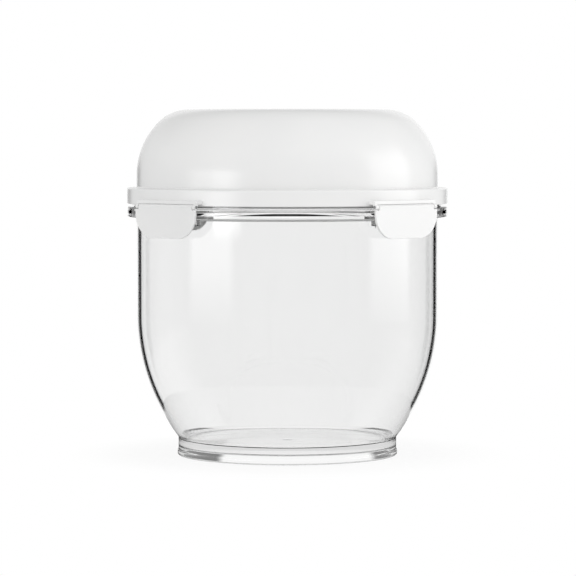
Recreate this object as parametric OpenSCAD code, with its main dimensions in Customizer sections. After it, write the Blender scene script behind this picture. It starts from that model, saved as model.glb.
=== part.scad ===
// Dough proofing container: a clear bell-shaped bowl on a foot ring, and a white domed lid
// that carries a seal ring in its groove and four hinged latch flaps with their pins.
// The origin is the centre of the foot's underside, and Z is up. Sizes are in millimetres.

/* [Bowl] */
// Outer radius of the bowl's straight upper wall
bowl_r = 97.8; // [85:0.1:110]
// Thickness of the bowl's wall
bowl_wall = 2.8; // [2:0.1:4]
// Height at which the straight wall begins
belly_z = 91; // [80:0.5:100]
// Height of the inside floor above the surface that the bowl stands on
floor_z = 10; // [9:0.1:13]
// Thickness of the floor
floor_t = 3.5; // [2:0.1:5]
// Radius of the rounding between the inside floor and the wall
floor_round = 8; // [4:0.5:12]

/* [Foot ring] */
// Outer radius of the foot ring
foot_r = 70.9; // [66:0.1:74]
// Height at which the lower wall meets the foot ring
foot_h = 11.8; // [10:0.1:16]
// Thickness of the foot ring
foot_wall = 3; // [2.5:0.1:5]
// How far the bead round the foot's lower edge stands proud
foot_bead = 0.6; // [0.2:0.05:1]
// Height of that bead
foot_bead_h = 3; // [2:0.1:4]

/* [Rim] */
// Height of the flange's underside
flange_z = 154.8; // [145:0.1:170]
// Thickness of the flange
flange_t = 6.7; // [5:0.1:9]
// How far the flange's edge lies inside the lid's skirt
flange_inset = 0.3; // [0.1:0.05:1]
// Radius of the rounding of the flange's two edges
flange_round = 1; // [0.4:0.1:2]
// How far the lip above the flange stands out from the wall
lip_out = 1.8; // [1:0.1:3]
// Height of the lip above the flange
lip_h = 6.5; // [5:0.1:9]
// How much wider the mouth's radius is than that of the inside below it
mouth_out = 1.8; // [0.5:0.1:1.9]
// Height above the flange's underside at which the inside begins to widen
mouth_step = 2.4; // [1.5:0.1:3.5]
// Height over which it widens
mouth_slope = 2.2; // [1.5:0.1:3]

/* [Catch lugs] */
// Width of each lug that a latch hooks under
lug_w = 40.4; // [32:0.1:60]
// How far a lug reaches below the flange
lug_drop = 3.8; // [2:0.1:6]
// How far a lug's top lies below the flange's top
lug_step = 0.6; // [0.2:0.1:2]

/* [Lid] */
// Thickness of the lid's shell
lid_wall = 2; // [1.5:0.1:3]
// Thickness of the lid's skirt
skirt_wall = 1.8; // [1.2:0.1:2.6]
// Gap between the lip and the skirt round it
skirt_gap = 2.6; // [1.8:0.1:4]
// Height of the skirt's lower edge above the flange
skirt_lift = 1.8; // [1:0.1:3]
// Height of the dome's straight side above the shoulder
dome_side = 8.1; // [4:0.1:14]
// Height of the dome's rounded part
dome_rise = 42.3; // [34:0.1:55]
// How far the rounded part draws in before the flat top
dome_draw = 33.5; // [28:0.1:45]
// Clearance between the plug wall and the bowl's mouth
plug_gap = 0.4; // [0.3:0.05:0.8]
// Thickness of the plug wall
plug_wall = 1.8; // [1.2:0.1:3]
// How far the plug wall reaches below the lip's top
plug_depth = 6; // [3:0.1:12]

/* [Seal] */
// Height of the seal ring between the lip and the lid
seal_t = 3.6; // [2:0.1:5]
// How far the seal reaches out past the lip
seal_over = 0.5; // [0.2:0.05:1]
// Clearance on each side of the seal in its groove
seal_fit = 0.05; // [0.02:0.01:0.1]
// Thickness of the rib that closes the groove on the outside
groove_rib = 0.9; // [0.6:0.1:1.2]
// Height by which that rib stays above the lip's top
groove_lift = 0.8; // [0.3:0.1:1.6]

/* [Hinges] */
// Radius of the barrel along the top of each flap, and of the ears at its ends
barrel_r = 1.5; // [1.3:0.05:1.9]
// Clearance between the barrel and the skirt
hinge_gap = 0.2; // [0.2:0.05:0.6]
// How far the hinge axis lies below the skirt's lower edge
hinge_drop = 0.4; // [0.2:0.1:1]
// Diameter of a hinge pin
pin_d = 1.6; // [1:0.1:1.8]
// Running clearance round the pin inside the barrel
pin_run = 0.06; // [0.03:0.01:0.1]
// Clearance round the pin inside the ears
pin_hold = 0.02; // [0.01:0.01:0.04]
// How far each end of the pin stands out of its ear
pin_end = 0.9; // [0.3:0.1:1.5]
// Width of each ear, which fills a notch in the flap's upper corner
ear_w = 2.5; // [1.5:0.1:4]
// Gap between an ear and the flap round it
ear_gap = 0.4; // [0.3:0.05:0.6]
// Thickness of the ledge that joins two ears
ledge_t = 2; // [1.2:0.1:3]
// Gap between the ledge and the barrel below it
ledge_gap = 0.4; // [0.4:0.05:0.8]
// How far the ledge reaches out past the hinge axis
ledge_out = 0.2; // [0:0.05:0.3]

/* [Latch flaps] */
// Width of a flap
latch_w = 55.2; // [48:0.1:58]
// Thickness of a flap
latch_t = 1.8; // [1.4:0.1:2.4]
// Radius of the two lower corners
latch_corner = 15.5; // [6:0.5:17]
// How far a flap hangs below its catch rib
latch_tail = 5.6; // [3:0.1:10]
// Width of the catch rib
rib_w = 38; // [25:0.5:48]
// Thickness of the catch rib
rib_t = 2.1; // [1.4:0.1:3]
// How far the catch rib reaches in under the lug
rib_bite = 1.3; // [0.6:0.1:2]
// Clearance between the catch rib and the lug above it
rib_gap = 0.3; // [0.2:0.05:0.6]

/* [Hidden] */
$fn = 96;

// Directions of the latches, seen from above with the front at 270
FRONT_LEFT_ANGLE = 225;
FRONT_RIGHT_ANGLE = 315;
REAR_LEFT_ANGLE = 135;
REAR_RIGHT_ANGLE = 45;
LATCH_ANGLES = [FRONT_LEFT_ANGLE, FRONT_RIGHT_ANGLE, REAR_LEFT_ANGLE, REAR_RIGHT_ANGLE];

// How far a cut runs past the face that it leaves through
past = 1;

// Radii, from the bowl's wall outwards
lip_r = bowl_r + lip_out;
skirt_in_r = lip_r + skirt_gap;
skirt_r = skirt_in_r + skirt_wall;
flange_r = skirt_r - flange_inset;
lug_face = skirt_r;
hinge_n = skirt_r + hinge_gap + barrel_r;
latch_face = hinge_n + barrel_r;
latch_back = latch_face - latch_t;
bowl_in_r = bowl_r - bowl_wall;
mouth_r = bowl_in_r + mouth_out;
plug_r = mouth_r - plug_gap;
seal_in_r = plug_r + seal_fit;
seal_out_r = lip_r + seal_over;
groove_r = seal_out_r + seal_fit;
dome_r = bowl_r;

// Heights, from the flange upwards
flange_top = flange_z + flange_t;
mouth_z = flange_z + mouth_step;
lip_top = flange_top + lip_h;
lid_under = lip_top + seal_t;
shoulder_z = lid_under + lid_wall;
dome_z = shoulder_z + dome_side;
dome_top = dome_z + dome_rise;
skirt_z = flange_top + skirt_lift;
hinge_z = skirt_z - hinge_drop;
ledge_z = hinge_z + barrel_r + ledge_gap;
lug_z = flange_z - lug_drop;
rib_top = lug_z - rib_gap;
latch_z = rib_top - rib_t - latch_tail;
mount_half = latch_w / 2;
barrel_half = mount_half - ear_w - ear_gap;
notch_z = hinge_z - barrel_r - ear_gap;

// The lower wall's curve leaves the straight wall upright and ends at the foot ring
belly_in = bowl_r - foot_r;
belly_h = belly_z - foot_h;
belly_curve = (pow(belly_in, 2) + pow(belly_h, 2)) / (2 * belly_in);
belly_x = bowl_r - belly_curve;
foot_angle = -asin(belly_h / belly_curve);

// The rounding of the inside floor, tangent to the floor and to the wall's inner face
inner_curve = belly_curve - bowl_wall;
round_z = floor_z + floor_round;
round_x = belly_x + sqrt(pow(inner_curve - floor_round, 2) - pow(belly_z - round_z, 2));
round_angle = -asin((belly_z - round_z) / (inner_curve - floor_round));

// The dome's rounding is two tangent arcs, a side arc below this angle and a top arc above it
DOME_SPLIT = 45;
dome_step = (dome_rise - dome_draw) / (sin(DOME_SPLIT) + cos(DOME_SPLIT) - 1);
dome_side_arc = dome_draw + dome_step * cos(DOME_SPLIT);
dome_top_arc = dome_side_arc - dome_step;
dome_flat = dome_r - dome_draw;

// A point at a distance and an angle from a centre
function polar(centre, radius, angle) = centre + radius * [cos(angle), sin(angle)];

// A slice of a disc between two angles, less than a quarter turn apart
module sector(centre, radius, from, to) {
    reach = 2 * radius;
    intersection() {
        translate(centre) circle(r = radius, $fn = 180);
        polygon([centre, polar(centre, reach, from), polar(centre, reach, to)]);
    }
}

// A rectangle between two corners
module slab(x0, z0, x1, z1) {
    translate([x0, z0]) square([x1 - x0, z1 - z0]);
}

// A ring's section whose two outer corners are round
module round_edged(x0, z0, x1, z1, edge) {
    slab(x0, z0, x1 - edge, z1);
    slab(x0, z0 + edge, x1, z1 - edge);
    for (z = [z0 + edge, z1 - edge]) {
        translate([x1 - edge, z]) circle(r = edge, $fn = 48);
    }
}

// Turns what is drawn for the front at +X to the direction of a latch
module at_latch(angle) {
    rotate([0, 0, angle]) children();
}

// A rod across a latch, on the hinge axis
module hinge_rod(radius, half) {
    translate([hinge_n, half, hinge_z]) rotate([90, 0, 0]) cylinder(r = radius, h = 2 * half, $fn = 48);
}

// Section of the bowl's outside, without the inside
module bowl_outside() {
    centre = [belly_x, belly_z];
    sector(centre, belly_curve, foot_angle, 0);
    polygon([
        [0, foot_h],
        polar(centre, belly_curve, foot_angle),
        [bowl_r, belly_z],
        [bowl_r, flange_z + flange_t / 2],
        [0, flange_z + flange_t / 2]
    ]);
    slab(0, foot_bead_h / 2, foot_r, foot_h);
    slab(0, 0, foot_r + foot_bead - foot_bead_h / 2, foot_bead_h / 2);
    translate([foot_r + foot_bead - foot_bead_h / 2, foot_bead_h / 2]) circle(r = foot_bead_h / 2, $fn = 48);
    round_edged(0, flange_z, flange_r, flange_top, flange_round);
    slab(0, flange_z, lip_r, lip_top);
}

// Section of the space inside the bowl
module bowl_inside() {
    centre = [belly_x, belly_z];
    sector(centre, inner_curve, round_angle, 0);
    sector([round_x, round_z], floor_round, -90, round_angle);
    polygon([
        [0, floor_z],
        [round_x, floor_z],
        [round_x, round_z],
        polar(centre, inner_curve, round_angle),
        [bowl_in_r, belly_z],
        [bowl_in_r, mouth_z],
        [mouth_r, mouth_z + mouth_slope],
        [mouth_r, lip_top + past],
        [0, lip_top + past]
    ]);
}

// The block on the bowl that a latch hooks under, with a straight front
module catch_lug() {
    height = flange_top - lug_step - lug_z;
    difference() {
        translate([0, -lug_w / 2, lug_z]) cube([lug_face, lug_w, height]);
        translate([0, 0, lug_z - past]) cylinder(r = (mouth_r + bowl_r) / 2, h = height + 2 * past, $fn = 180);
    }
}

// Section of the bowl, on the outer side of its axis
module bowl_section() {
    intersection() {
        slab(0, 0, flange_r + past, lip_top);
        difference() {
            bowl_outside();
            bowl_inside();
            slab(-past, -past, foot_r - foot_wall, floor_z - floor_t);
        }
    }
}

// The bowl, with its foot ring, flange, lip and four catch lugs
module bowl() {
    color([0.86, 0.9, 0.91, 0.4]) union() {
        rotate_extrude($fn = 180) bowl_section();
        for (angle = LATCH_ANGLES) {
            at_latch(angle) catch_lug();
        }
    }
}

// Section of the dome, drawn in by an inset from its outer face
module dome_section(inset) {
    side = [dome_r - dome_side_arc, dome_z];
    top = [dome_flat, dome_top - dome_top_arc];
    sector(side, dome_side_arc - inset, 0, DOME_SPLIT);
    sector(top, dome_top_arc - inset, DOME_SPLIT, 90);
    polygon([
        [0, shoulder_z - lid_wall / 2],
        [dome_r - inset, shoulder_z - lid_wall / 2],
        [dome_r - inset, dome_z],
        polar(side, dome_side_arc - inset, DOME_SPLIT),
        [dome_flat, dome_top - inset],
        [0, dome_top - inset]
    ]);
}

// Section of the lid's shell, shoulder, skirt, plug wall and seal groove
module lid_section() {
    difference() {
        dome_section(0);
        dome_section(lid_wall);
    }
    slab(plug_r - plug_wall, lid_under, skirt_r, shoulder_z);
    slab(skirt_in_r, skirt_z, skirt_r, shoulder_z);
    slab(plug_r - plug_wall, lip_top - plug_depth, plug_r, shoulder_z);
    slab(groove_r, lip_top + groove_lift, groove_r + groove_rib, shoulder_z);
}

// The straight ledge over a flap, and the two ears that hold its pin
module hinge_mount() {
    difference() {
        union() {
            difference() {
                translate([0, -mount_half, ledge_z]) cube([hinge_n + ledge_out, 2 * mount_half, ledge_t]);
                cylinder(r = skirt_r - skirt_wall / 2, h = dome_top, $fn = 180);
            }
            for (side = [-mount_half, mount_half - ear_w]) {
                translate([hinge_n - barrel_r, side, hinge_z]) {
                    cube([barrel_r + ledge_out, ear_w, ledge_z + ledge_t - hinge_z]);
                }
                translate([hinge_n, side + ear_w, hinge_z]) {
                    rotate([90, 0, 0]) cylinder(r = barrel_r, h = ear_w, $fn = 48);
                }
            }
        }
        hinge_rod(pin_d / 2 + pin_hold, mount_half + past);
    }
}

// The domed lid with its hinge mounts
module lid() {
    color([0.95, 0.95, 0.94]) union() {
        rotate_extrude($fn = 180) lid_section();
        for (angle = LATCH_ANGLES) {
            at_latch(angle) hinge_mount();
        }
    }
}

// The flat ring of soft rubber between the bowl's lip and the lid
module seal_ring() {
    color([0.9, 0.9, 0.88]) rotate_extrude($fn = 180) slab(seal_in_r, lip_top, seal_out_r, lid_under);
}

// Front view of a flap, with its lower corners rounded and its upper corners notched for the ears
module latch_outline() {
    half = latch_w / 2;
    corner_x = half - latch_corner;
    corner_z = latch_z + latch_corner;
    slab(-half, corner_z, half, notch_z);
    slab(-corner_x, latch_z, corner_x, notch_z);
    slab(-barrel_half, corner_z, barrel_half, hinge_z);
    sector([-corner_x, corner_z], latch_corner, 180, 270);
    sector([corner_x, corner_z], latch_corner, 270, 360);
}

// A latch flap: hinge barrel, flat plate and the catch rib on its back
module latch(angle) {
    rib_in = lug_face - rib_bite;
    color([0.95, 0.95, 0.94]) at_latch(angle) difference() {
        union() {
            translate([latch_back, 0, 0]) rotate([90, 0, 90]) linear_extrude(latch_t) latch_outline();
            hinge_rod(barrel_r, barrel_half);
            translate([rib_in, -rib_w / 2, rib_top - rib_t]) cube([latch_back + latch_t / 2 - rib_in, rib_w, rib_t]);
        }
        hinge_rod(pin_d / 2 + pin_run, barrel_half + past);
    }
}

// The steel pin that a flap turns on
module hinge_pin(angle) {
    color([0.6, 0.61, 0.62]) at_latch(angle) hinge_rod(pin_d / 2, mount_half + pin_end);
}

bowl();
lid();
seal_ring();
latch(FRONT_LEFT_ANGLE);  // latch_front_left
latch(FRONT_RIGHT_ANGLE);  // latch_front_right
latch(REAR_LEFT_ANGLE);  // latch_rear_left
latch(REAR_RIGHT_ANGLE);  // latch_rear_right
hinge_pin(FRONT_LEFT_ANGLE);  // pin_front_left
hinge_pin(FRONT_RIGHT_ANGLE);  // pin_front_right
hinge_pin(REAR_LEFT_ANGLE);  // pin_rear_left
hinge_pin(REAR_RIGHT_ANGLE);  // pin_rear_right
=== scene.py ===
"""Dough proofing container: a clear bell-shaped bowl under a white domed lid with four latch flaps.

Sizes are in millimetres, and every mesh is brought to metres when it becomes an object. The origin
is the centre of the foot's underside, Z is up and the front faces -Y. A latch is modelled once at
the +X side and turned to its diagonal.
"""

import logging
import math
from dataclasses import dataclass, field
from enum import Enum

import bmesh
import bpy
from mathutils import Matrix, Vector


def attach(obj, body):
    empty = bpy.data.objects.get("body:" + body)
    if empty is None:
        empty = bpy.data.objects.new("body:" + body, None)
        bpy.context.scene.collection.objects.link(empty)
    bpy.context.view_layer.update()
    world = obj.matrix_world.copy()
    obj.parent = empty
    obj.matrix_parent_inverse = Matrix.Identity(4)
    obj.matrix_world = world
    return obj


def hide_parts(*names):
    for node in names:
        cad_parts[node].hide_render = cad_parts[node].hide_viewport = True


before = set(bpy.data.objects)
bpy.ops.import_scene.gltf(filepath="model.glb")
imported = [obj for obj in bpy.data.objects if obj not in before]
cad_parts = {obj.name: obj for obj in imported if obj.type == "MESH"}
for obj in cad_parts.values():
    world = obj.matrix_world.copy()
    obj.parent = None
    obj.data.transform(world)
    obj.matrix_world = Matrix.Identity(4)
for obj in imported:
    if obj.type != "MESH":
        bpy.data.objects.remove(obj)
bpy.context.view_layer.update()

MM = 0.001
Point = tuple[float, float]
log = logging.getLogger("proofing_container")


class Corner(Enum):
    """The diagonals at which the latches sit, as angles from +X in degrees."""

    FRONT_LEFT = 225
    FRONT_RIGHT = 315
    REAR_LEFT = 135
    REAR_RIGHT = 45

    @property
    def label(self) -> str:
        """The name of the diagonal as the record spells it."""
        return self.name.lower()


class Signal:
    """A shader socket that can be used in an expression of numbers."""

    def __init__(self, sheet: "ShaderSheet", socket: bpy.types.NodeSocket) -> None:
        """Wraps a socket of a sheet."""
        self.sheet = sheet
        self.socket = socket

    def _math(self, operation: str, first: "Value", second: "Value") -> "Signal":
        """Adds a Math node.

        Args:
            operation: Name of the node's operation.
            first: Left value.
            second: Right value.

        Returns:
            The node's result.
        """
        return self.sheet.add("ShaderNodeMath", {"operation": operation}, {0: first, 1: second}).out()

    def __add__(self, other: "Value") -> "Signal":
        """self + other."""
        return self._math("ADD", self, other)

    def __radd__(self, other: "Value") -> "Signal":
        """other + self."""
        return self._math("ADD", other, self)

    def __sub__(self, other: "Value") -> "Signal":
        """self - other."""
        return self._math("SUBTRACT", self, other)

    def __rsub__(self, other: "Value") -> "Signal":
        """other - self."""
        return self._math("SUBTRACT", other, self)

    def __mul__(self, other: "Value") -> "Signal":
        """self * other."""
        return self._math("MULTIPLY", self, other)

    def __rmul__(self, other: "Value") -> "Signal":
        """other * self."""
        return self._math("MULTIPLY", other, self)

    def __truediv__(self, other: "Value") -> "Signal":
        """self / other."""
        return self._math("DIVIDE", self, other)

    def __abs__(self) -> "Signal":
        """The size of self without its sign."""
        return self._math("ABSOLUTE", self, 0.0)


Value = Signal | float | tuple


class Step:
    """One node on a sheet, with its outputs by name."""

    def __init__(self, sheet: "ShaderSheet", node: bpy.types.Node) -> None:
        """Wraps a node of a sheet."""
        self.sheet = sheet
        self.node = node

    def out(self, name: str | int = 0) -> Signal:
        """Gives one output of the node as a signal."""
        return Signal(self.sheet, self.node.outputs[name])


class ShaderSheet:
    """The node tree of one material or world."""

    def __init__(self, tree: bpy.types.NodeTree) -> None:
        """Clears the tree to start from nothing."""
        tree.nodes.clear()
        self.tree = tree

    def add(self, kind: str, settings: dict | None = None, inputs: dict | None = None) -> Step:
        """Adds a node.

        Args:
            kind: The node's type name.
            settings: Properties of the node, set before its sockets.
            inputs: Values or signals by socket name or number.

        Returns:
            The new node.
        """
        node = self.tree.nodes.new(kind)
        for name, value in (settings or {}).items():
            setattr(node, name, value)
        for name, value in (inputs or {}).items():
            if isinstance(value, Signal):
                self.tree.links.new(value.socket, node.inputs[name])
            else:
                node.inputs[name].default_value = value
        return Step(self, node)

    def ramp(self, value: Value, low: float, high: float, start: float = 0.0, end: float = 1.0) -> Signal:
        """Eases a signal from one range to another.

        Args:
            value: What is mapped.
            low: Where the change begins.
            high: Where the change ends.
            start: Result up to low.
            end: Result from high on.

        Returns:
            The eased signal.
        """
        settings = {"interpolation_type": "SMOOTHSTEP"}
        inputs = {"Value": value, "From Min": low, "From Max": high, "To Min": start, "To Max": end}
        return self.add("ShaderNodeMapRange", settings, inputs).out()

    def place(self, stretch: tuple = (1.0, 1.0, 1.0)) -> Signal:
        """Gives the object's own coordinates, stretched along its axes."""
        spot = self.add("ShaderNodeTexCoord").out("Object")
        return self.add("ShaderNodeMapping", inputs={"Vector": spot, "Scale": stretch}).out()

    def least(self, first: Value, second: Value) -> Signal:
        """Gives the smaller of two values."""
        return self.add("ShaderNodeMath", {"operation": "MINIMUM"}, {0: first, 1: second}).out()

    def band(self, value: Value, low: float, high: float, soft: float) -> Signal:
        """Gives 1 between two limits and 0 outside them, with soft edges inside the limits."""
        return self.ramp(value, low, low + soft) * self.ramp(value, high - soft, high, 1.0, 0.0)

    def noise(self, spot: Signal, scale: float, detail: float = 2.0) -> Signal:
        """Gives a noise value between 0 and 1 at a spot."""
        return self.add("ShaderNodeTexNoise", inputs={"Vector": spot, "Scale": scale, "Detail": detail}).out(0)

    def blend(self, share: Value, first: tuple, second: tuple) -> Signal:
        """Mixes two colours by a share."""
        inputs = {"Factor": share, "A": (*first, 1.0), "B": (*second, 1.0)}
        node = self.add("ShaderNodeMix", {"data_type": "RGBA"})
        for name, value in inputs.items():
            socket = next(s for s in node.node.inputs if s.name == name and s.enabled)
            if isinstance(value, Signal):
                self.tree.links.new(value.socket, socket)
            else:
                socket.default_value = value
        return Signal(self, next(s for s in node.node.outputs if s.enabled))


@dataclass(frozen=True)
class ClearPlastic:
    """Clear moulded plastic with a polished face and a few hairline rubs."""

    tint: tuple = (0.975, 0.976, 0.975)
    ior: float = 1.52
    rub_scale: float = 260.0
    rub_roughness: float = 0.02

    def material(self) -> bpy.types.Material:
        """Builds the material."""
        material = bpy.data.materials.new("clear_plastic")
        material.use_nodes = True
        sheet = ShaderSheet(material.node_tree)
        rubs = sheet.noise(sheet.place((1.0, 1.0, 0.06)), self.rub_scale, 4.0)
        haze = sheet.ramp(rubs, 0.56, 0.74)
        shade = sheet.blend(haze, self.tint, tuple(0.985 * c for c in self.tint))
        inputs = {
            "Base Color": shade,
            "Roughness": haze * self.rub_roughness,
            "IOR": self.ior,
            "Transmission Weight": 1.0,
        }
        body = sheet.add("ShaderNodeBsdfPrincipled", inputs=inputs)
        sheet.add("ShaderNodeOutputMaterial", inputs={"Surface": body.out()})
        return material


@dataclass(frozen=True)
class WhitePlastic:
    """White glossy moulded plastic with a faint orange peel."""

    name: str = "white_plastic"
    colour: tuple = (0.845, 0.845, 0.84)
    cooler: tuple = (0.825, 0.827, 0.825)
    roughness: float = 0.17
    peel_scale: float = 420.0
    peel_depth: float = 0.00001
    milky: float = 0.0
    milky_depth: float = 0.0012

    def material(self) -> bpy.types.Material:
        """Builds the material."""
        material = bpy.data.materials.new(self.name)
        material.use_nodes = True
        sheet = ShaderSheet(material.node_tree)
        cloud = sheet.noise(sheet.place(), 22.0, 3.0)
        grain = sheet.noise(sheet.place(), self.peel_scale, 2.0)
        bump_inputs = {"Strength": 0.35, "Distance": self.peel_depth, "Height": grain}
        bump = sheet.add("ShaderNodeBump", inputs=bump_inputs)
        inputs = {
            "Base Color": sheet.blend(sheet.ramp(cloud, 0.3, 0.7), self.colour, self.cooler),
            "Roughness": self.roughness + 0.06 * cloud,
            "IOR": 1.49,
            "Subsurface Weight": self.milky,
            "Subsurface Radius": (1.0, 1.0, 1.0),
            "Subsurface Scale": self.milky_depth,
            "Normal": bump.out(),
        }
        body = sheet.add("ShaderNodeBsdfPrincipled", inputs=inputs)
        sheet.add("ShaderNodeOutputMaterial", inputs={"Surface": body.out()})
        return material


@dataclass(frozen=True)
class SiliconeRubber:
    """Milky silicone rubber with a soft sheen."""

    colour: tuple = (0.8, 0.81, 0.8)
    darker: tuple = (0.74, 0.755, 0.75)

    def material(self) -> bpy.types.Material:
        """Builds the material."""
        material = bpy.data.materials.new("silicone")
        material.use_nodes = True
        sheet = ShaderSheet(material.node_tree)
        cloud = sheet.noise(sheet.place(), 90.0, 3.0)
        inputs = {
            "Base Color": sheet.blend(cloud, self.colour, self.darker),
            "Roughness": 0.42 + 0.12 * cloud,
            "IOR": 1.41,
        }
        body = sheet.add("ShaderNodeBsdfPrincipled", inputs=inputs)
        sheet.add("ShaderNodeOutputMaterial", inputs={"Surface": body.out()})
        return material


@dataclass(frozen=True)
class DrawnSteel:
    """Steel wire with fine draw marks."""

    colour: tuple = (0.46, 0.465, 0.47)
    darker: tuple = (0.33, 0.335, 0.34)

    def material(self) -> bpy.types.Material:
        """Builds the material."""
        material = bpy.data.materials.new("pin_steel")
        material.use_nodes = True
        sheet = ShaderSheet(material.node_tree)
        marks = sheet.noise(sheet.place((1.0, 1.0, 6.0)), 900.0, 4.0)
        inputs = {
            "Base Color": sheet.blend(marks, self.colour, self.darker),
            "Metallic": 1.0,
            "Roughness": 0.28 + 0.2 * marks,
        }
        body = sheet.add("ShaderNodeBsdfPrincipled", inputs=inputs)
        sheet.add("ShaderNodeOutputMaterial", inputs={"Surface": body.out()})
        return material


@dataclass
class Outline:
    """A flat outline of straight runs, arcs and rounded corners."""

    spots: list[tuple[Vector, float]] = field(default_factory=list)
    fillet_steps: int = 6

    def to(self, x: float, y: float, fillet: float = 0.0) -> "Outline":
        """Runs straight to a corner, which may be rounded by a fillet."""
        self.spots.append((Vector((x, y)), fillet))
        return self

    def arc(self, centre: Point, radius: float, start: float, end: float, steps: int) -> "Outline":
        """Follows an arc.

        Args:
            centre: Centre of the arc.
            radius: Radius of the arc.
            start: Angle of its first point in degrees.
            end: Angle of its last point in degrees.
            steps: Number of straight pieces.

        Returns:
            This outline.
        """
        for step in range(steps + 1):
            angle = math.radians(start + (end - start) * step / steps)
            self.to(centre[0] + radius * math.cos(angle), centre[1] + radius * math.sin(angle))
        return self

    def _rounded(self, before: Vector, spot: Vector, after: Vector, fillet: float) -> list[Vector]:
        """Gives the points of a rounded corner.

        Args:
            before: Neighbour on one side.
            spot: The sharp corner.
            after: Neighbour on the other side.
            fillet: Radius of the rounding.

        Returns:
            Points along the rounding.
        """
        one, two = (before - spot).normalized(), (after - spot).normalized()
        half = one.angle(two) / 2
        reach = min(fillet / math.tan(half), (before - spot).length / 2, (after - spot).length / 2)
        middle = spot + (one + two).normalized() * (reach / math.cos(half))
        first, last = spot + one * reach - middle, spot + two * reach - middle
        turn = first.angle_signed(last)
        points = []
        for step in range(self.fillet_steps + 1):
            points.append(middle + Matrix.Rotation(-turn * step / self.fillet_steps, 2) @ first)
        return points

    def points(self, closed: bool) -> list[Vector]:
        """Gives the outline's points, with its corners rounded.

        Args:
            closed: Whether the last spot runs back to the first.

        Returns:
            The points in order.
        """
        traced = []
        count = len(self.spots)
        for index, (spot, fillet) in enumerate(self.spots):
            end = not closed and index in (0, count - 1)
            if fillet <= 0 or end:
                traced.append(spot)
                continue
            before, after = self.spots[index - 1][0], self.spots[(index + 1) % count][0]
            traced.extend(self._rounded(before, spot, after, fillet))
        return traced


def wire(points: list[Vector], closed: bool, plane: Matrix) -> bmesh.types.BMesh:
    """Draws an outline as a chain of edges.

    Args:
        points: Flat points.
        closed: Whether the chain runs back to its start.
        plane: Where the outline's plane lies.

    Returns:
        A mesh of edges.
    """
    mesh = bmesh.new()
    chain = [mesh.verts.new(plane @ Vector((p.x, p.y, 0.0))) for p in points]
    for first, second in zip(chain, chain[1:]):
        mesh.edges.new((first, second))
    if closed:
        mesh.edges.new((chain[-1], chain[0]))
    return mesh


UPRIGHT = Matrix.Rotation(math.radians(90), 4, "X")
ACROSS = Matrix(((0, 0, 1, 0), (1, 0, 0, 0), (0, 1, 0, 0), (0, 0, 0, 1)))


def turned(outline: Outline, closed: bool, steps: int) -> bmesh.types.BMesh:
    """Turns an outline of radius and height round the Z axis.

    Args:
        outline: The section.
        closed: Whether the section is a closed ring.
        steps: Number of steps round.

    Returns:
        The turned mesh.
    """
    mesh = wire(outline.points(closed), closed, UPRIGHT)
    geometry = mesh.verts[:] + mesh.edges[:]
    bmesh.ops.spin(mesh, geom=geometry, axis=(0, 0, 1), angle=math.tau, steps=steps, use_merge=True)
    bmesh.ops.remove_doubles(mesh, verts=mesh.verts, dist=0.001)
    bmesh.ops.recalc_face_normals(mesh, faces=mesh.faces)
    return mesh


def pressed(outline: Outline, plane: Matrix, depth: float, edge: float = 0.0) -> bmesh.types.BMesh:
    """Gives an outline a thickness, with softened rims.

    Args:
        outline: The closed outline.
        plane: Where its plane lies.
        depth: Thickness along the plane's own Z.
        edge: Radius of the softened rims, or 0 for sharp ones.

    Returns:
        The solid mesh.
    """
    mesh = wire(outline.points(True), True, plane)
    bmesh.ops.contextual_create(mesh, geom=mesh.edges[:])
    push = (plane.to_3x3() @ Vector((0, 0, 1))) * depth
    grown = bmesh.ops.extrude_face_region(mesh, geom=mesh.faces[:], use_keep_orig=True)["geom"]
    bmesh.ops.translate(mesh, verts=[g for g in grown if isinstance(g, bmesh.types.BMVert)], vec=push)
    bmesh.ops.recalc_face_normals(mesh, faces=mesh.faces)
    if edge > 0:
        caps = [f for f in mesh.faces if len(f.verts) > 4 or abs(f.normal.dot(push.normalized())) > 0.9]
        rims = list({e for f in caps for e in f.edges})
        bevel(mesh, rims, edge)
    return mesh


def bevel(mesh: bmesh.types.BMesh, edges: list, radius: float) -> None:
    """Rounds edges of a mesh."""
    bmesh.ops.bevel(
        mesh, geom=edges, offset=radius, offset_type="OFFSET", segments=3, profile=0.5,
        affect="EDGES", material=-1, clamp_overlap=True,
    )


def rod(radius: float, half: float, steps: int, edge: float = 0.0) -> bmesh.types.BMesh:
    """Makes a rod along Y, centred on the origin.

    Args:
        radius: Radius of the rod.
        half: Half its length.
        steps: Number of sides.
        edge: Radius of the softened ends.

    Returns:
        The rod.
    """
    mesh = bmesh.new()
    bmesh.ops.create_cone(
        mesh, cap_ends=True, segments=steps, radius1=radius, radius2=radius, depth=2 * half,
        matrix=Matrix.Rotation(math.radians(90), 4, "X"),
    )
    if edge > 0:
        bevel(mesh, [e for f in mesh.faces if len(f.verts) > 4 for e in f.edges], edge)
    return mesh


def moved(mesh: bmesh.types.BMesh, place: Matrix) -> bmesh.types.BMesh:
    """Moves a whole mesh and returns it."""
    bmesh.ops.transform(mesh, matrix=place, verts=mesh.verts)
    return mesh


def piece(name: str, mesh: bmesh.types.BMesh, crease: float = 32.0) -> bpy.types.Object:
    """Makes an object from a mesh in millimetres.

    Args:
        name: Name of the piece.
        mesh: The mesh, which is freed.
        crease: Edges sharper than this many degrees stay sharp.

    Returns:
        The object, at the origin.
    """
    bmesh.ops.scale(mesh, vec=(MM, MM, MM), verts=mesh.verts)
    data = bpy.data.meshes.new(name)
    mesh.to_mesh(data)
    mesh.free()
    shade(data, crease)
    made = bpy.data.objects.new(name, data)
    bpy.context.scene.collection.objects.link(made)
    return made


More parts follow.
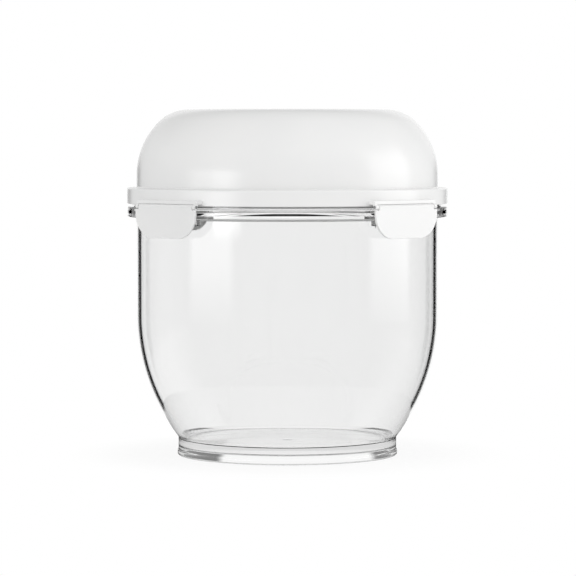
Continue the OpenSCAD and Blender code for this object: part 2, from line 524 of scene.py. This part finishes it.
def shade(data: bpy.types.Mesh, crease: float) -> None:
    """Shades a mesh smooth, apart from its creases."""
    data.shade_smooth()
    data.set_sharp_from_angle(angle=math.radians(crease))


def settle(made: bpy.types.Object) -> None:
    """Turns a piece's modifiers into its mesh."""
    graph = bpy.context.evaluated_depsgraph_get()
    data = bpy.data.meshes.new_from_object(made.evaluated_get(graph))
    old = made.data
    made.modifiers.clear()
    made.data = data
    bpy.data.meshes.remove(old)
    data.name = made.name


class Join(Enum):
    """How two solids are brought together."""

    UNION = "UNION"
    DIFFERENCE = "DIFFERENCE"


def joined(base: bpy.types.Object, tools: list[bpy.types.Object], how: Join, crease: float = 32.0) -> None:
    """Joins solids to a base or cuts them from it.

    Args:
        base: The piece that is kept.
        tools: The solids that are used up.
        how: Union or difference.
        crease: Edges sharper than this many degrees stay sharp.
    """
    for tool in tools:
        modifier = base.modifiers.new("join", "BOOLEAN")
        modifier.operation = how.value
        modifier.solver = "EXACT"
        modifier.object = tool
    settle(base)
    shade(base.data, crease)
    for tool in tools:
        data = tool.data
        bpy.data.objects.remove(tool)
        bpy.data.meshes.remove(data)


def even_out(made: bpy.types.Object) -> None:
    """Lets the larger faces set the shading, so that a rounded edge doesn't bend the flat beside it."""
    modifier = made.modifiers.new("even_out", "WEIGHTED_NORMAL")
    modifier.mode = "FACE_AREA"
    modifier.keep_sharp = True
    settle(made)


def fit(made: bpy.types.Object, material: bpy.types.Material, body: str, node: str) -> None:
    """Dresses a piece and puts it on its body in the place of a node.

    Args:
        made: The piece.
        material: Its material.
        body: The body that it rides on.
        node: The node that it stands for.
    """
    even_out(made)
    made.data.materials.clear()
    made.data.materials.append(material)
    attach(made, body)
    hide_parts(node)
    log.info("%s on %s: %d faces", made.name, body, len(made.data.polygons))


@dataclass
class Bowl:
    """The clear bowl, with its foot ring, flange, lip and four catch lugs."""

    wall_radius: float = 97.8
    wall: float = 2.8
    belly_height: float = 91.0
    floor_top: float = 10.0
    floor_under: float = 6.5
    floor_round: float = 8.0
    foot_radius: float = 70.9
    foot_wall: float = 3.0
    foot_height: float = 11.8
    bead: float = 0.6
    bead_height: float = 3.0
    gate_radius: float = 3.0
    gate_depth: float = 0.6
    flange_under: float = 154.8
    flange_top: float = 161.5
    flange_radius: float = 103.7
    lip_radius: float = 99.6
    lip_top: float = 168.0
    mouth_radius: float = 96.8
    mouth_step: float = 157.2
    mouth_full: float = 159.0
    lug_face: float = 104.0
    lug_half: float = 20.2
    lug_under: float = 151.0
    lug_top: float = 160.9
    steps: int = 256

    @property
    def belly_curve(self) -> float:
        """Radius of the lower wall's outside, upright where it leaves the straight wall."""
        drawn_in, height = self.wall_radius - self.foot_radius, self.belly_height - self.foot_height
        return (drawn_in ** 2 + height ** 2) / (2 * drawn_in)

    def section(self) -> Outline:
        """Draws the bowl's section, from the underside's centre round to the inside floor's centre."""
        centre = (self.wall_radius - self.belly_curve, self.belly_height)
        inner = self.belly_curve - self.wall
        inner_radius = self.wall_radius - self.wall
        round_height = self.floor_top + self.floor_round
        drop = self.belly_height - round_height
        round_angle = -math.degrees(math.asin(drop / (inner - self.floor_round)))
        round_x = centre[0] + (inner - self.floor_round) * math.cos(math.radians(round_angle))
        foot_inner = self.foot_radius - self.foot_wall
        bead_out = self.foot_radius + self.bead
        outline = Outline()
        outline.to(0, self.floor_under - self.gate_depth)
        outline.to(self.gate_radius, self.floor_under - self.gate_depth, 0.25)
        outline.to(self.gate_radius + 0.4, self.floor_under, 0.2)
        outline.to(foot_inner, self.floor_under, 1.2).to(foot_inner, 0, 0.6)
        outline.to(bead_out, 0, 1.2).to(bead_out, self.bead_height, 0.9)
        outline.to(self.foot_radius, self.bead_height + 0.9, 0.6)
        start = -math.degrees(math.asin((self.belly_height - self.foot_height) / self.belly_curve))
        outline.to(self.foot_radius, self.foot_height, 1.6)
        outline.arc(centre, self.belly_curve, start + 1.0, 0, 48)
        outline.to(self.wall_radius, self.flange_under, 0.8)
        outline.to(self.flange_radius, self.flange_under, 0.9).to(self.flange_radius, self.flange_top, 0.9)
        outline.to(self.lip_radius, self.flange_top, 0.5).to(self.lip_radius, self.lip_top, 0.7)
        outline.to(self.mouth_radius, self.lip_top, 0.7)
        outline.to(self.mouth_radius, self.mouth_full, 0.4).to(inner_radius, self.mouth_step, 0.4)
        outline.arc(centre, inner, 0, round_angle, 48)
        outline.arc((round_x, round_height), self.floor_round, round_angle - 4, -90, 12)
        outline.to(0, self.floor_top)
        return outline

    def lug(self, corner: Corner) -> bpy.types.Object:
        """Makes a catch lug at a diagonal.

        Args:
            corner: The diagonal.

        Returns:
            The lug, set in the middle of the bowl's wall.
        """
        seat = (self.mouth_radius + self.wall_radius) / 2
        reach = math.degrees(math.asin(self.lug_half / seat))
        outline = Outline()
        outline.to(self.lug_face, -self.lug_half, 0.8).to(self.lug_face, self.lug_half, 0.8)
        outline.arc((0, 0), seat, reach, -reach, 24)
        plane = Matrix.Translation((0, 0, self.lug_under))
        mesh = pressed(outline, plane, self.lug_top - self.lug_under, 0.5)
        return piece("lug", moved(mesh, Matrix.Rotation(math.radians(corner.value), 4, "Z")))

    def build(self, finish: ClearPlastic) -> None:
        """Builds the bowl.

        Args:
            finish: What the bowl is moulded in.
        """
        shell = piece("bowl_shell", turned(self.section(), False, self.steps))
        joined(shell, [self.lug(corner) for corner in Corner], Join.UNION)
        fit(shell, finish.material(), "bowl", "bowl")


@dataclass
class Hinge:
    """Where a flap turns, as seen at the +X side."""

    axis_out: float = 105.7
    axis_height: float = 162.9
    radius: float = 1.5
    pin_radius: float = 0.8
    pin_run: float = 0.06
    pin_hold: float = 0.02
    pin_half: float = 28.5
    mount_half: float = 27.6
    ear_width: float = 2.5
    ear_gap: float = 0.4

    @property
    def barrel_half(self) -> float:
        """Half the length of the flap's barrel."""
        return self.mount_half - self.ear_width - self.ear_gap

    @property
    def place(self) -> Matrix:
        """The middle of the hinge axis."""
        return Matrix.Translation((self.axis_out, 0, self.axis_height))


def at_corner(corner: Corner) -> Matrix:
    """The turn that carries a piece from the +X side to a diagonal."""
    return Matrix.Rotation(math.radians(corner.value), 4, "Z")


@dataclass
class Lid:
    """The domed white lid, with its skirt, plug wall, seal groove and hinge mounts."""

    hinge: Hinge
    dome_radius: float = 97.8
    dome_foot: float = 173.6
    dome_side_top: float = 181.7
    dome_top: float = 224.0
    draw: float = 33.5
    wall: float = 2.0
    skirt_radius: float = 104.0
    skirt_inner: float = 102.2
    skirt_under: float = 163.3
    plug_radius: float = 96.4
    plug_inner: float = 94.6
    plug_under: float = 162.0
    groove_radius: float = 100.15
    groove_rib: float = 0.9
    groove_under: float = 168.8
    ledge_under: float = 164.5
    ledge_thick: float = 2.3
    ledge_out: float = 105.9
    steps: int = 256

    def _arcs(self) -> tuple[float, float]:
        """Radii of the dome's side arc and top arc, which meet at 45 degrees."""
        diagonal = math.sqrt(0.5)
        step = (self.dome_top - self.dome_side_top - self.draw) / (2 * diagonal - 1)
        side = self.draw + step * diagonal
        return side, side - step

    def section(self) -> Outline:
        """Draws the lid's section, from the top's centre round to the inside's centre."""
        side, top = self._arcs()
        side_centre = (self.dome_radius - side, self.dome_side_top)
        top_centre = (self.dome_radius - self.draw, self.dome_top - top)
        shoulder_under = self.dome_foot - self.wall
        outline = Outline().to(0, self.dome_top)
        outline.arc(top_centre, top, 90, 45, 20).arc(side_centre, side, 42, 0, 20)
        outline.to(self.dome_radius, self.dome_foot, 1.0).to(self.skirt_radius, self.dome_foot, 1.1)
        outline.to(self.skirt_radius, self.skirt_under, 0.5).to(self.skirt_inner, self.skirt_under, 0.4)
        outline.to(self.skirt_inner, shoulder_under, 0.3)
        outline.to(self.groove_radius + self.groove_rib, shoulder_under)
        outline.to(self.groove_radius + self.groove_rib, self.groove_under, 0.2)
        outline.to(self.groove_radius, self.groove_under, 0.2).to(self.groove_radius, shoulder_under)
        outline.to(self.plug_radius, shoulder_under).to(self.plug_radius, self.plug_under, 0.6)
        outline.to(self.plug_inner, self.plug_under, 0.6).to(self.plug_inner, self.dome_foot, 0.6)
        outline.to(self.dome_radius - self.wall, self.dome_foot, 0.5)
        outline.arc(side_centre, side - self.wall, 0, 42, 20).arc(top_centre, top - self.wall, 45, 90, 20)
        outline.to(0, self.dome_top - self.wall)
        return outline

    def ledge(self) -> bpy.types.Object:
        """Makes the straight ledge over a flap."""
        half = self.hinge.mount_half
        seat = (self.skirt_radius + self.skirt_inner) / 2
        reach = math.degrees(math.asin(half / seat))
        outline = Outline().to(self.ledge_out, -half, 0.4).to(self.ledge_out, half, 0.4)
        outline.arc((0, 0), seat, reach, -reach, 24)
        mesh = pressed(outline, Matrix.Translation((0, 0, self.ledge_under)), self.ledge_thick, 0.3)
        return piece("ledge", mesh)

    def ear(self, side: int) -> bpy.types.Object:
        """Makes one of the two ears that hold a pin.

        Args:
            side: 1 or -1 along the hinge.

        Returns:
            The ear.
        """
        hinge = self.hinge
        front = self.ledge_out - hinge.axis_out
        start = math.degrees(math.acos(front / hinge.radius))
        head = self.ledge_under + self.ledge_thick / 2
        outline = Outline().to(hinge.axis_out - hinge.radius, head).to(self.ledge_out, head)
        outline.arc((hinge.axis_out, hinge.axis_height), hinge.radius, start, -180, 28)
        near = side * hinge.mount_half
        plane = Matrix.Translation((0, max(near, near - side * hinge.ear_width), 0)) @ UPRIGHT
        return piece("ear", pressed(outline, plane, hinge.ear_width))

    def build(self, finish: WhitePlastic) -> None:
        """Builds the lid.

        Args:
            finish: What the lid is moulded in.
        """
        hinge = self.hinge
        shell = piece("lid_shell", turned(self.section(), False, self.steps))
        mount = self.ledge()
        joined(mount, [self.ear(1), self.ear(-1)], Join.UNION)
        bore = piece("bore", moved(rod(hinge.pin_radius + hinge.pin_hold, hinge.pin_half + 1, 32), hinge.place))
        joined(mount, [bore], Join.DIFFERENCE)
        mounts = []
        for corner in Corner:
            copy = bpy.data.objects.new("mount", mount.data.copy())
            copy.data.transform(at_corner(corner))
            bpy.context.scene.collection.objects.link(copy)
            mounts.append(copy)
        bpy.data.objects.remove(mount)
        joined(shell, mounts, Join.UNION)
        fit(shell, finish.material(), "lid", "lid")


@dataclass
class SealRing:
    """The soft ring between the bowl's lip and the lid."""

    inner: float = 96.45
    outer: float = 100.1
    under: float = 168.0
    top: float = 171.6
    steps: int = 192

    def build(self, finish: SiliconeRubber) -> None:
        """Builds the seal ring.

        Args:
            finish: What the ring is moulded in.
        """
        outline = Outline().to(self.outer, self.under, 0.5).to(self.outer, self.top, 0.3)
        outline.to(self.inner, self.top, 0.3).to(self.inner, self.under, 0.5)
        ring = piece("seal_band", turned(outline, True, self.steps))
        fit(ring, finish.material(), "lid", "seal_ring")


@dataclass
class LatchFlap:
    """A flap that turns on its pin and hooks under a lug."""

    hinge: Hinge
    face: float = 107.2
    thick: float = 1.8
    half: float = 27.6
    under: float = 143.0
    corner_round: float = 15.5
    rib_inner: float = 102.7
    rib_half: float = 19.0
    rib_top: float = 150.7
    rib_thick: float = 2.1
    soft_edge: float = 0.45

    def plate(self) -> bpy.types.Object:
        """Makes the flat plate, notched for the ears at its upper corners."""
        hinge = self.hinge
        notch = hinge.axis_height - hinge.radius - hinge.ear_gap
        centre = (self.half - self.corner_round, self.under + self.corner_round)
        outline = Outline()
        outline.arc((-centre[0], centre[1]), self.corner_round, 180, 270, 20)
        outline.arc(centre, self.corner_round, 270, 360, 20)
        outline.to(self.half, notch, 0.3).to(hinge.barrel_half, notch, 0.3)
        outline.to(hinge.barrel_half, hinge.axis_height).to(-hinge.barrel_half, hinge.axis_height)
        outline.to(-hinge.barrel_half, notch, 0.3).to(-self.half, notch, 0.3)
        plane = Matrix.Translation((self.face - self.thick, 0, 0)) @ ACROSS
        return piece("plate", pressed(outline, plane, self.thick, self.soft_edge))

    def build(self, corner: Corner, finish: bpy.types.Material) -> None:
        """Builds a flap at its diagonal.

        Args:
            corner: The diagonal.
            finish: The flap's material.
        """
        hinge = self.hinge
        flap = self.plate()
        flap.name = f"flap_{corner.label}"
        barrel = piece("barrel", moved(rod(hinge.radius, hinge.barrel_half, 40, 0.2), hinge.place))
        rib = bmesh.new()
        bmesh.ops.create_cube(rib, size=1.0)
        depth = self.face - self.thick / 2 - self.rib_inner
        bmesh.ops.scale(rib, vec=(depth, 2 * self.rib_half, self.rib_thick), verts=rib.verts)
        bevel(rib, rib.edges[:], 0.35)
        middle = (self.rib_inner + depth / 2, 0, self.rib_top - self.rib_thick / 2)
        joined(flap, [barrel, piece("rib", moved(rib, Matrix.Translation(middle)))], Join.UNION)
        run = hinge.pin_radius + hinge.pin_run
        bore = piece("bore", moved(rod(run, hinge.pin_half + 1, 32), hinge.place))
        joined(flap, [bore], Join.DIFFERENCE)
        flap.data.transform(at_corner(corner))
        name = f"latch_{corner.label}"
        fit(flap, finish, name, name)


@dataclass
class HingePin:
    """The steel pin on which a flap turns."""

    hinge: Hinge

    def build(self, corner: Corner, finish: bpy.types.Material) -> None:
        """Builds a pin at its diagonal.

        Args:
            corner: The diagonal.
            finish: The pin's material.
        """
        hinge = self.hinge
        mesh = moved(rod(hinge.pin_radius, hinge.pin_half, 32, 0.2), at_corner(corner) @ hinge.place)
        pin = piece(f"wire_{corner.label}", mesh)
        fit(pin, finish, "lid", f"pin_{corner.label}")


@dataclass(frozen=True)
class Softbox:
    """A rectangular studio lamp that faces the object."""

    name: str
    azimuth: float
    distance: float
    height: float
    width: float
    tall: float
    power: float

    def build(self) -> None:
        """Sets the lamp up, turned towards the object's middle."""
        lamp = bpy.data.lights.new(self.name, "AREA")
        lamp.shape = "RECTANGLE"
        lamp.size, lamp.size_y = self.width, self.tall
        lamp.energy = self.power
        stand = bpy.data.objects.new(self.name, lamp)
        angle = math.radians(self.azimuth)
        stand.location = (self.distance * math.sin(angle), -self.distance * math.cos(angle), self.height)
        aim = Vector((0, 0, 0.13)) - Vector(stand.location)
        stand.rotation_euler = aim.to_track_quat("-Z", "Y").to_euler()
        stand.visible_glossy = False
        stand.visible_transmission = False
        bpy.context.scene.collection.objects.link(stand)


@dataclass(frozen=True)
class Panel:
    """A soft-edged bright panel of the studio, seen only in reflections."""

    side: int
    start: float
    stop: float
    level: float
    soft: float = 9.0
    under: float = -0.075
    under_soft: float = 0.045
    top: float = 0.3
    top_soft: float = 0.4

    def shine(self, sheet: ShaderSheet, turn: Signal, up: Signal) -> Signal:
        """Gives what the panel adds in a direction.

        Args:
            sheet: The sheet that is worked on.
            turn: Signed angle from straight behind the object, in degrees.
            up: Upward part of the direction.

        Returns:
            The panel's light.
        """
        away = self.side * turn
        width = sheet.band(away, self.start, self.stop, self.soft)
        foot = sheet.ramp(up, self.under, self.under + self.under_soft)
        head = sheet.ramp(up, self.top, self.top + self.top_soft, 1.0, 0.0)
        return self.level * width * foot * head


@dataclass
class Studio:
    """The floor, backdrop, lamps and camera round the object."""

    floor_radius: float = 0.15
    fill: float = 0.68
    front_fill: float = 0.27
    right_fill: float = 0.24
    room: float = 0.1
    room_inside: float = 0.3
    upper_wall: float = 0.75
    left_wall: float = 0.75
    right_wall: float = 0.5
    ceiling: float = 0.3
    ceiling_inside: float = 0.9
    ceiling_right: float = 0.15
    backdrop: float = 0.97
    backdrop_edge: float = 17.0
    wall_edge: float = 30.0
    floor_mirrored: float = 0.12
    floor_inside: float = 0.95
    floor_rim: float = 0.75
    floor_glow: float = 0.9
    # Painted shadow on the floor under the foot's left and right sides, seen only through the plastic: its limits
    # along X, softness, outer reach and depth.
    painted_shadow_left: float = -0.042
    painted_shadow_right: float = 0.055
    painted_shadow_soft: float = 0.003
    painted_shadow_reach: float = 0.071
    painted_shadow_depth: float = 0.8
    camera_distance: float = 1.95
    camera_height: float = 0.2083
    camera_turn: float = 0.75
    camera_shift_x: float = 0.0004
    pitch: float = 2.94
    lens: float = 187.5
    panels: tuple[Panel, ...] = (
        Panel(-1, 98.0, 143.0, 2.3, under=-0.07, under_soft=0.034, top=0.0, top_soft=0.2),
        Panel(-1, 121.0, 148.0, 2.9, soft=5.0, under=-0.038, under_soft=0.008, top=0.0, top_soft=0.2),
        Panel(1, 70.0, 118.0, 2.2, top_soft=0.3),
    )

    def turn(self, sheet: ShaderSheet, across: Signal, along: Signal) -> Signal:
        """Gives the signed angle from straight behind the object, in degrees."""
        angle = sheet.add("ShaderNodeMath", {"operation": "ARCTAN2"}, {0: across, 1: along}).out()
        return angle * math.degrees(1.0)

    def surroundings(self, sheet: ShaderSheet, turn: Signal, across: Signal, up: Signal) -> tuple[Signal, Signal]:
        """Gives the studio that the object's faces mirror.

        Args:
            sheet: The sheet that is worked on.
            turn: Signed angle from straight behind the object, in degrees.
            across: How far the direction lies to +X.
            up: How far it lies upwards.

        Returns:
            The light that outer faces mirror, and the light that faces mirror from inside the plastic.
        """
        away = abs(turn)
        behind = self.backdrop * sheet.ramp(away, self.backdrop_edge - 1.0, self.backdrop_edge + 1.0, 1.0, 0.0)
        wall = sheet.ramp(across, -0.2, 0.2, self.left_wall, self.right_wall)
        wall = wall * sheet.ramp(away, self.wall_edge - 1.5, self.wall_edge + 1.5) * sheet.ramp(away, 60.0, 110.0, 1.0, 0.0)
        low = behind + wall
        gap = sheet.band(away, self.backdrop_edge - 1.0, self.wall_edge + 1.5, 2.0) * sheet.ramp(up, 0.0, 0.1)
        low = low + gap * (self.upper_wall - low)
        front = sheet.ramp(away, 60.0, 110.0)
        raised = sheet.ramp(up, 0.25, 0.6)
        inner = low + self.room_inside * front
        ceiling = self.ceiling_inside + front * (self.room_inside - self.ceiling_inside)
        inner = inner + sheet.ramp(up, 0.02, 0.12) * (ceiling - inner)
        outer = low + self.room * front
        outer = outer + raised * (self.ceiling + sheet.ramp(across, 0.0, 0.6, 0.0, self.ceiling_right) - outer)
        for panel in self.panels:
            outer = outer + panel.shine(sheet, turn, up)
        return outer, inner

    def build_floor(self) -> None:
        """Lays a plain pale floor that keeps the object's shadow near it and is white further out, with a painted
        shadow under the foot's left and right sides that shows only through the plastic.
        """
        mesh = bmesh.new()
        bmesh.ops.create_circle(mesh, cap_ends=True, segments=96, radius=self.floor_radius / MM)
        floor = piece("floor", moved(mesh, Matrix.Translation((0, 0, -0.02))))
        material = bpy.data.materials.new("floor_paper")
        material.use_nodes = True
        sheet = ShaderSheet(material.node_tree)
        spot = sheet.add("ShaderNodeTexCoord").out("Object")
        away = sheet.add("ShaderNodeVectorMath", {"operation": "LENGTH"}, {0: spot}).out("Value")
        path = sheet.add("ShaderNodeLightPath")
        camera, passing, glossy = (path.out(n) for n in ("Is Camera Ray", "Is Transmission Ray", "Is Glossy Ray"))
        reflected = glossy * (1.0 - passing)
        inside = passing * sheet.least(path.out("Glossy Depth"), 1.0)
        inner = sheet.ramp(away, 0.075, self.floor_radius, self.floor_inside, self.floor_rim)
        level = 1.0 - inside * (1.0 - inner) - reflected * (1.0 - self.floor_mirrored)
        # Painted shadow: the floor's glow is darkened under the foot's left and right sides for rays that pass
        # through the plastic.
        aside = sheet.add("ShaderNodeSeparateXYZ", inputs={0: spot}).out("X")
        sides = sheet.ramp(aside, self.painted_shadow_left - self.painted_shadow_soft, self.painted_shadow_left + self.painted_shadow_soft, 1.0, 0.0)
        sides = sides + sheet.ramp(aside, self.painted_shadow_right - self.painted_shadow_soft, self.painted_shadow_right + self.painted_shadow_soft)
        under = sheet.ramp(away, self.painted_shadow_reach - 0.0005, self.painted_shadow_reach + 0.0005, self.painted_shadow_depth, 0.0)
        level = level - (passing - inside) * sides * under
        share = passing + reflected + camera * sheet.ramp(away, 0.09, self.floor_radius, self.floor_glow, 1.0)
        paper = sheet.add("ShaderNodeBsdfDiffuse", inputs={"Color": (0.95, 0.95, 0.95, 1.0)})
        glow = sheet.add("ShaderNodeEmission", inputs={"Color": (1.0, 1.0, 1.0, 1.0), "Strength": level})
        mixed = sheet.add("ShaderNodeMixShader", inputs={0: share, 1: paper.out(), 2: glow.out()})
        sheet.add("ShaderNodeOutputMaterial", inputs={"Surface": mixed.out()})
        floor.data.materials.append(material)

    def build_world(self) -> None:
        """Surrounds the object with a white backdrop, mirrored walls and panels, and an even fill."""
        world = bpy.data.worlds.new("studio")
        bpy.context.scene.world = world
        world.use_nodes = True
        sheet = ShaderSheet(world.node_tree)
        way = sheet.add("ShaderNodeTexCoord").out("Generated")
        parts = sheet.add("ShaderNodeSeparateXYZ", inputs={0: way})
        across, along, up = parts.out("X"), parts.out("Y"), parts.out("Z")
        turn = self.turn(sheet, across, along)
        outer, inner = self.surroundings(sheet, turn, across, up)
        path = sheet.add("ShaderNodeLightPath")
        camera, passing, glossy = (path.out(n) for n in ("Is Camera Ray", "Is Transmission Ray", "Is Glossy Ray"))
        front = sheet.add("ShaderNodeMath", {"operation": "MAXIMUM"}, {0: 0.0 - along, 1: 0.0}).out()
        level = self.fill + self.front_fill * front + self.right_fill * across
        inside = sheet.least(path.out("Glossy Depth"), 1.0)
        through = 1.0 + inside * (inner - 1.0)
        level = level + glossy * (1.0 - passing) * (outer - level)
        level = level + passing * (through - level)
        level = level + camera * (1.0 - level)
        sky = sheet.add("ShaderNodeBackground", inputs={"Color": (1.0, 1.0, 1.0, 1.0), "Strength": level})
        sheet.add("ShaderNodeOutputWorld", inputs={"Surface": sky.out()})

    def build_camera(self) -> None:
        """Sets the camera at the photograph's viewing angle."""
        data = bpy.data.cameras.new("camera")
        data.lens = self.lens
        data.sensor_width = 36.0
        camera = bpy.data.objects.new("camera", data)
        turn = Matrix.Rotation(math.radians(self.camera_turn), 4, "Z")
        stand = Matrix.Translation((self.camera_shift_x, -self.camera_distance, self.camera_height))
        tilt = Matrix.Rotation(math.radians(90 - self.pitch), 4, "X")
        camera.matrix_world = turn @ stand @ tilt
        bpy.context.scene.collection.objects.link(camera)
        bpy.context.scene.camera = camera

    def build(self) -> None:
        """Sets the whole studio up."""
        self.build_world()
        self.build_floor()
        self.build_camera()
        Softbox("left_softbox", -50.0, 1.3, 0.55, 0.85, 1.1, 4.7).build()
        Softbox("right_softbox", 85.0, 1.3, 0.6, 1.0, 1.2, 4.6).build()
        bpy.context.scene.view_settings.view_transform = "Standard"
        cycles = bpy.context.scene.cycles
        cycles.max_bounces, cycles.glossy_bounces, cycles.transmission_bounces = 24, 16, 24


def main() -> None:
    """Builds the object's pieces in order, then the studio round them."""
    logging.basicConfig(level=logging.INFO, format="%(name)s: %(message)s")
    hinge = Hinge()
    Bowl().build(ClearPlastic())
    Lid(hinge).build(WhitePlastic())
    SealRing().build(SiliconeRubber())
    flap_finish = WhitePlastic(name="flap_plastic", milky=0.5).material()
    pin_finish = DrawnSteel().material()
    for corner in Corner:
        LatchFlap(hinge).build(corner, flap_finish)
        HingePin(hinge).build(corner, pin_finish)
    Studio().build()


if __name__ == "__main__":
    main()
